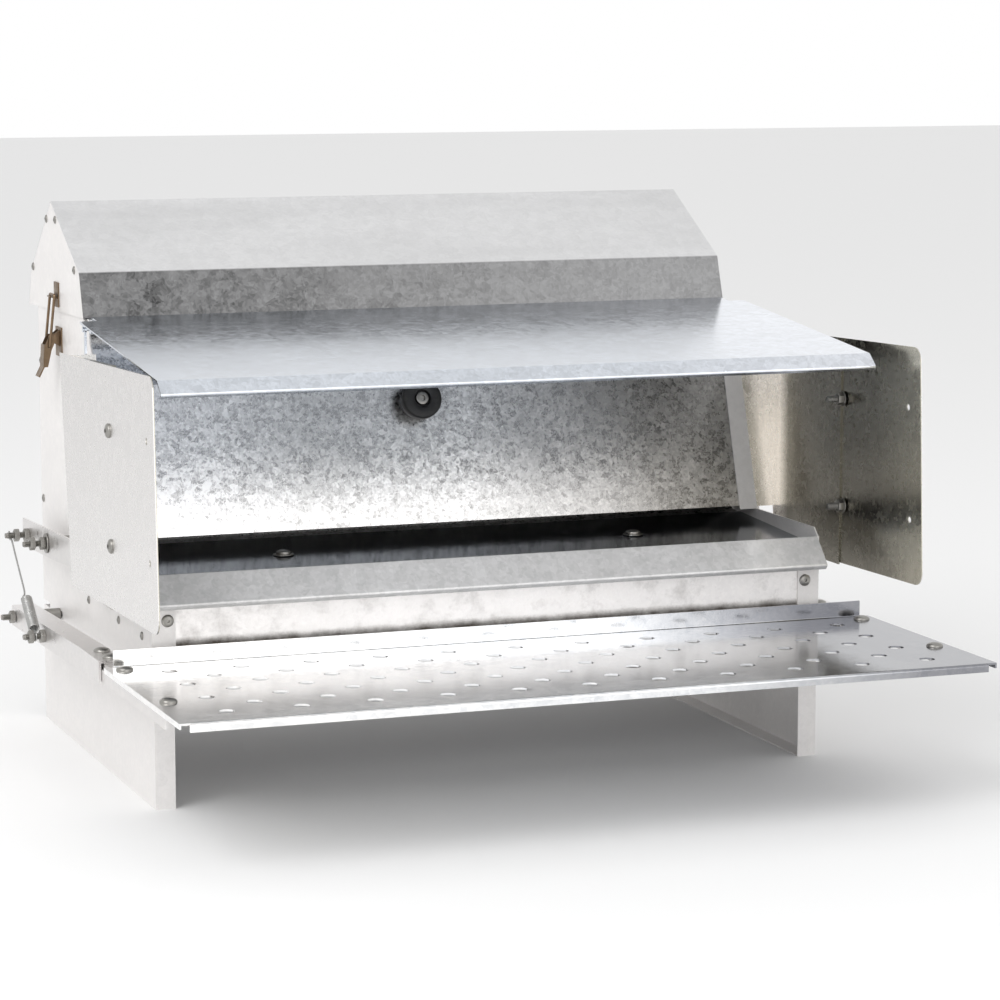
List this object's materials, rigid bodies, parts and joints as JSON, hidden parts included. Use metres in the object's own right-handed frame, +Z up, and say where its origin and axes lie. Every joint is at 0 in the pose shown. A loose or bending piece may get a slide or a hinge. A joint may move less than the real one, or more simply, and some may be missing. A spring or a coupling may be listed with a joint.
{
  "type": "treadle poultry feeder",
  "caption": "Gravity hopper poultry feeder in folded galvanised sheet, with a treadle step that raises a hinged lid over the trough, side guards and a lift-off latched roof.",
  "frame": {"origin": "on the ground, at the middle of the footprint", "axes": "+X to the right across the feeder seen from the step, +Y from the step towards the back, +Z up"},
  "size_m": [0.721, 0.671, 0.4816],
  "materials": {
    "galvanised_sheet": "spangled galvanised sheet, semi-bright",
    "galvanised_plate": "bright galvanised plate",
    "zinc_hardware": "zinc plated",
    "latch_steel": "dull yellow-brown passivated steel",
    "spring_steel": "bright wire",
    "black_rubber": "matte black"
  },
  "bodies": {
    "feeder": {"body_side_left": "galvanised_sheet", "body_side_right": "galvanised_sheet", "hopper_front_panel": "galvanised_sheet", "hopper_back_panel": "galvanised_sheet", "hopper_floor": "galvanised_sheet", "trough_pan": "galvanised_sheet", "trough_apron": "galvanised_sheet", "stand_left": "galvanised_sheet", "stand_right": "galvanised_sheet", "guard_plate_left": "galvanised_sheet", "guard_plate_right": "galvanised_sheet", "guard_wing_left": "galvanised_sheet", "guard_wing_right": "galvanised_sheet", "guard_screws": "zinc_hardware", "guard_nuts": "zinc_hardware", "body_rivets": "zinc_hardware", "trough_bolts": "zinc_hardware", "lid_bumper": "black_rubber", "bumper_screw": "zinc_hardware", "lid_hinge_rod": "zinc_hardware", "treadle_pivots": "zinc_hardware", "rocker_pivots": "zinc_hardware", "latch_base_left": "latch_steel", "latch_base_right": "latch_steel"},
    "roof": {"roof_cap": "galvanised_sheet", "roof_gable_left": "galvanised_sheet", "roof_gable_right": "galvanised_sheet", "gable_rivets_left": "zinc_hardware", "gable_rivets_right": "zinc_hardware", "latch_keeper_left": "latch_steel", "latch_keeper_right": "latch_steel"},
    "lid": {"lid_panel": "galvanised_sheet", "lid_lug_left": "zinc_hardware", "lid_lug_right": "zinc_hardware"},
    "treadle": {"step_plate": "galvanised_plate", "step_bracket_left": "galvanised_plate", "step_bracket_right": "galvanised_plate", "step_arm_left": "galvanised_plate", "step_arm_right": "galvanised_plate", "step_bolts": "zinc_hardware", "arm_bolts": "zinc_hardware", "spring_bolts": "zinc_hardware", "lift_spring_left": "spring_steel", "lift_spring_right": "spring_steel"},
    "rocker_left": {"rocker_plate_left": "galvanised_plate", "rocker_pin_left": "zinc_hardware", "tail_bolt_left": "zinc_hardware"},
    "lift_link_left": {"lift_link_left": "zinc_hardware"},
    "latch_lever_left": {"latch_lever_left": "latch_steel"},
    "latch_bail_left": {"latch_bail_left": "latch_steel"},
    "rocker_right": {"rocker_plate_right": "galvanised_plate", "rocker_pin_right": "zinc_hardware", "tail_bolt_right": "zinc_hardware"},
    "lift_link_right": {"lift_link_right": "zinc_hardware"},
    "latch_lever_right": {"latch_lever_right": "latch_steel"},
    "latch_bail_right": {"latch_bail_right": "latch_steel"}
  },
  "joints": [
    {"name": "treadle_hinge", "type": "hinge", "parent": "feeder", "child": "treadle", "pos_m": [0, 0.2401, 0.1084], "axis": [-1, 0, 0], "range_deg": [0, 4.5], "deforming": ["lift_spring_left", "lift_spring_right"]},
    {"name": "lid_hinge", "type": "hinge", "parent": "feeder", "child": "lid", "pos_m": [0, 0.1145, 0.3824], "axis": [1, 0, 0], "range_deg": [0, 34]},
    {"name": "roof_lift", "type": "slide", "parent": "feeder", "child": "roof", "axis": [0, 0, 1], "range_m": [0, 0.18]},
    {"name": "rocker_hinge_left", "type": "hinge", "parent": "feeder", "child": "rocker_left", "pos_m": [-0.321, 0.1895, 0.182], "axis": [1, 0, 0], "range_deg": [0, 7.35]},
    {"name": "lift_link_hinge_left", "type": "hinge", "parent": "lid", "child": "lift_link_left", "pos_m": [-0.3075, 0.09161, 0.3802], "axis": [-1, 0, 0], "range_deg": [0, 35.6]},
    {"name": "latch_hinge_left", "type": "hinge", "parent": "feeder", "child": "latch_lever_left", "pos_m": [-0.308, 0.2205, 0.362], "axis": [0, 1, 0], "range_deg": [0, 120]},
    {"name": "bail_hinge_left", "type": "hinge", "parent": "latch_lever_left", "child": "latch_bail_left", "pos_m": [-0.311, 0.2205, 0.354], "axis": [0, 1, 0], "range_deg": [-150, 0]},
    {"name": "rocker_hinge_right", "type": "hinge", "parent": "feeder", "child": "rocker_right", "pos_m": [0.321, 0.1895, 0.182], "axis": [1, 0, 0], "range_deg": [0, 7.35]},
    {"name": "lift_link_hinge_right", "type": "hinge", "parent": "lid", "child": "lift_link_right", "pos_m": [0.3075, 0.09161, 0.3802], "axis": [-1, 0, 0], "range_deg": [0, 35.6]},
    {"name": "latch_hinge_right", "type": "hinge", "parent": "feeder", "child": "latch_lever_right", "pos_m": [0.308, 0.2205, 0.362], "axis": [0, -1, 0], "range_deg": [0, 120]},
    {"name": "bail_hinge_right", "type": "hinge", "parent": "latch_lever_right", "child": "latch_bail_right", "pos_m": [0.311, 0.2205, 0.354], "axis": [0, -1, 0], "range_deg": [-150, 0]}
  ],
  "couplings": [
    {"joint": "lid_hinge", "follows": "treadle_hinge", "ratio": 7.5555},
    {"joint": "rocker_hinge_left", "follows": "treadle_hinge", "ratio": 1.6333},
    {"joint": "lift_link_hinge_left", "follows": "treadle_hinge", "ratio": 7.904},
    {"joint": "bail_hinge_left", "follows": "latch_hinge_left", "ratio": -1.25},
    {"joint": "rocker_hinge_right", "follows": "treadle_hinge", "ratio": 1.6333},
    {"joint": "lift_link_hinge_right", "follows": "treadle_hinge", "ratio": 7.904},
    {"joint": "bail_hinge_right", "follows": "latch_hinge_right", "ratio": -1.25}
  ]
}
